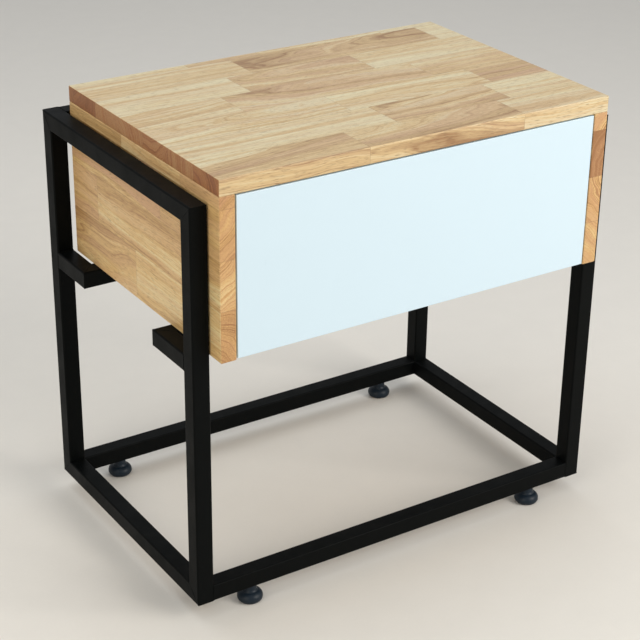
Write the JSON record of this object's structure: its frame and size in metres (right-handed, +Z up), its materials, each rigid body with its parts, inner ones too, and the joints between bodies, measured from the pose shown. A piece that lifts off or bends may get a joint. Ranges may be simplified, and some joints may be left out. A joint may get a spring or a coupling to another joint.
{
  "type": "side table with drawer",
  "caption": "Bedside table: a timber case with one flush drawer, carried inside an open black square-tube frame on levelling feet.",
  "frame": {"origin": "on the floor, under the middle of the overall box", "axes": "+X to the table's right (drawer facing the viewer), +Y from the drawer front to the back, +Z up"},
  "size_m": [0.587, 0.4, 0.57],
  "materials": {
    "powder_coat": "matt black powder coat",
    "oiled_wood": "satin clear lacquer on edge-glued staves",
    "white_lacquer": "satin white lacquer on fibreboard",
    "plywood": "clear matt lacquer on birch plywood",
    "zinc_steel": "zinc plated, cold rolled",
    "bearing_steel": "polished",
    "fixing_steel": "zinc plated",
    "black_plastic": "moulded, satin",
    "grey_plastic": "moulded, matt",
    "dowel_wood": "bare beech",
    "soft_pad": "soft, matt"
  },
  "bodies": {
    "table": {"left_front_post": "powder_coat", "left_rear_post": "powder_coat", "left_top_rail": "powder_coat", "left_bottom_rail": "powder_coat", "left_front_stub": "powder_coat", "left_rear_stub": "powder_coat", "right_front_post": "powder_coat", "right_rear_post": "powder_coat", "right_top_rail": "powder_coat", "right_bottom_rail": "powder_coat", "right_front_stub": "powder_coat", "right_rear_stub": "powder_coat", "front_bottom_rail": "powder_coat", "rear_bottom_rail": "powder_coat", "rear_top_rail": "powder_coat", "front_cross_tube": "powder_coat", "rear_cross_tube": "powder_coat", "top_panel": "oiled_wood", "left_side_panel": "oiled_wood", "right_side_panel": "oiled_wood", "bottom_panel": "oiled_wood", "back_panel": "oiled_wood", "case_dowels": "dowel_wood", "back_screws": "fixing_steel", "case_to_frame_screws": "fixing_steel", "slide_and_latch_screws": "fixing_steel", "foot_rivet_nuts": "fixing_steel", "left_slide_outer": "zinc_steel", "right_slide_outer": "zinc_steel", "push_latch_housing": "grey_plastic", "push_latch_spring": "bearing_steel"},
    "latch_plunger": {"push_latch_plunger": "grey_plastic"},
    "drawer": {"drawer_front": "white_lacquer", "drawer_inner_front": "plywood", "drawer_back": "plywood", "drawer_left_side": "plywood", "drawer_right_side": "plywood", "drawer_bottom": "plywood", "drawer_screws": "fixing_steel", "left_slide_inner": "zinc_steel", "right_slide_inner": "zinc_steel", "slide_to_drawer_screws": "fixing_steel"},
    "left_slide_middle": {"left_slide_middle": "zinc_steel"},
    "left_outer_ball_cage": {"left_outer_ball_cage": "bearing_steel"},
    "left_inner_ball_cage": {"left_inner_ball_cage": "bearing_steel"},
    "right_slide_middle": {"right_slide_middle": "zinc_steel"},
    "right_outer_ball_cage": {"right_outer_ball_cage": "bearing_steel"},
    "right_inner_ball_cage": {"right_inner_ball_cage": "bearing_steel"},
    "front_left_foot_pad": {"front_left_foot_pad": "soft_pad"},
    "front_left_foot": {"front_left_foot_base": "black_plastic", "front_left_foot_stud": "fixing_steel"},
    "front_right_foot_pad": {"front_right_foot_pad": "soft_pad"},
    "front_right_foot": {"front_right_foot_base": "black_plastic", "front_right_foot_stud": "fixing_steel"},
    "rear_left_foot_pad": {"rear_left_foot_pad": "soft_pad"},
    "rear_left_foot": {"rear_left_foot_base": "black_plastic", "rear_left_foot_stud": "fixing_steel"},
    "rear_right_foot_pad": {"rear_right_foot_pad": "soft_pad"},
    "rear_right_foot": {"rear_right_foot_base": "black_plastic", "rear_right_foot_stud": "fixing_steel"}
  },
  "joints": [
    {"name": "push_stroke", "type": "slide", "parent": "table", "child": "latch_plunger", "axis": [0, 1, 0], "range_m": [0, 0.0025], "stiffness_N_per_m": 400, "springref_m": -0.01, "deforming": ["push_latch_spring"]},
    {"name": "drawer_slide", "type": "slide", "parent": "latch_plunger", "child": "drawer", "axis": [0, -1, 0], "range_m": [0, 0.3]},
    {"name": "left_slide_middle_travel", "type": "slide", "parent": "table", "child": "left_slide_middle", "axis": [0, -1, 0], "range_m": [0, 0.15]},
    {"name": "left_outer_ball_cage_travel", "type": "slide", "parent": "table", "child": "left_outer_ball_cage", "axis": [0, -1, 0], "range_m": [0, 0.075]},
    {"name": "left_inner_ball_cage_travel", "type": "slide", "parent": "table", "child": "left_inner_ball_cage", "axis": [0, -1, 0], "range_m": [0, 0.225]},
    {"name": "right_slide_middle_travel", "type": "slide", "parent": "table", "child": "right_slide_middle", "axis": [0, -1, 0], "range_m": [0, 0.15]},
    {"name": "right_outer_ball_cage_travel", "type": "slide", "parent": "table", "child": "right_outer_ball_cage", "axis": [0, -1, 0], "range_m": [0, 0.075]},
    {"name": "right_inner_ball_cage_travel", "type": "slide", "parent": "table", "child": "right_inner_ball_cage", "axis": [0, -1, 0], "range_m": [0, 0.225]},
    {"name": "front_left_foot_rise", "type": "slide", "parent": "table", "child": "front_left_foot_pad", "axis": [0, 0, -1], "range_m": [0, 0.01]},
    {"name": "front_left_foot_turn", "type": "hinge", "parent": "front_left_foot_pad", "child": "front_left_foot", "pos_m": [-0.2155, -0.166, 0], "axis": [0, 0, -1], "range_deg": [0, 2880]},
    {"name": "front_right_foot_rise", "type": "slide", "parent": "table", "child": "front_right_foot_pad", "axis": [0, 0, -1], "range_m": [0, 0.01]},
    {"name": "front_right_foot_turn", "type": "hinge", "parent": "front_right_foot_pad", "child": "front_right_foot", "pos_m": [0.2155, -0.166, 0], "axis": [0, 0, -1], "range_deg": [0, 2880]},
    {"name": "rear_left_foot_rise", "type": "slide", "parent": "table", "child": "rear_left_foot_pad", "axis": [0, 0, -1], "range_m": [0, 0.01]},
    {"name": "rear_left_foot_turn", "type": "hinge", "parent": "rear_left_foot_pad", "child": "rear_left_foot", "pos_m": [-0.2155, 0.184, 0], "axis": [0, 0, -1], "range_deg": [0, 2880]},
    {"name": "rear_right_foot_rise", "type": "slide", "parent": "table", "child": "rear_right_foot_pad", "axis": [0, 0, -1], "range_m": [0, 0.01]},
    {"name": "rear_right_foot_turn", "type": "hinge", "parent": "rear_right_foot_pad", "child": "rear_right_foot", "pos_m": [0.2155, 0.184, 0], "axis": [0, 0, -1], "range_deg": [0, 2880]}
  ],
  "couplings": [
    {"joint": "left_slide_middle_travel", "follows": "drawer_slide", "ratio": 0.5},
    {"joint": "left_outer_ball_cage_travel", "follows": "drawer_slide", "ratio": 0.25},
    {"joint": "left_inner_ball_cage_travel", "follows": "drawer_slide", "ratio": 0.75},
    {"joint": "right_slide_middle_travel", "follows": "drawer_slide", "ratio": 0.5},
    {"joint": "right_outer_ball_cage_travel", "follows": "drawer_slide", "ratio": 0.25},
    {"joint": "right_inner_ball_cage_travel", "follows": "drawer_slide", "ratio": 0.75},
    {"joint": "front_left_foot_turn", "follows": "front_left_foot_rise", "rad_per_m": 5026.5},
    {"joint": "front_right_foot_turn", "follows": "front_right_foot_rise", "rad_per_m": 5026.5},
    {"joint": "rear_left_foot_turn", "follows": "rear_left_foot_rise", "rad_per_m": 5026.5},
    {"joint": "rear_right_foot_turn", "follows": "rear_right_foot_rise", "rad_per_m": 5026.5}
  ]
}
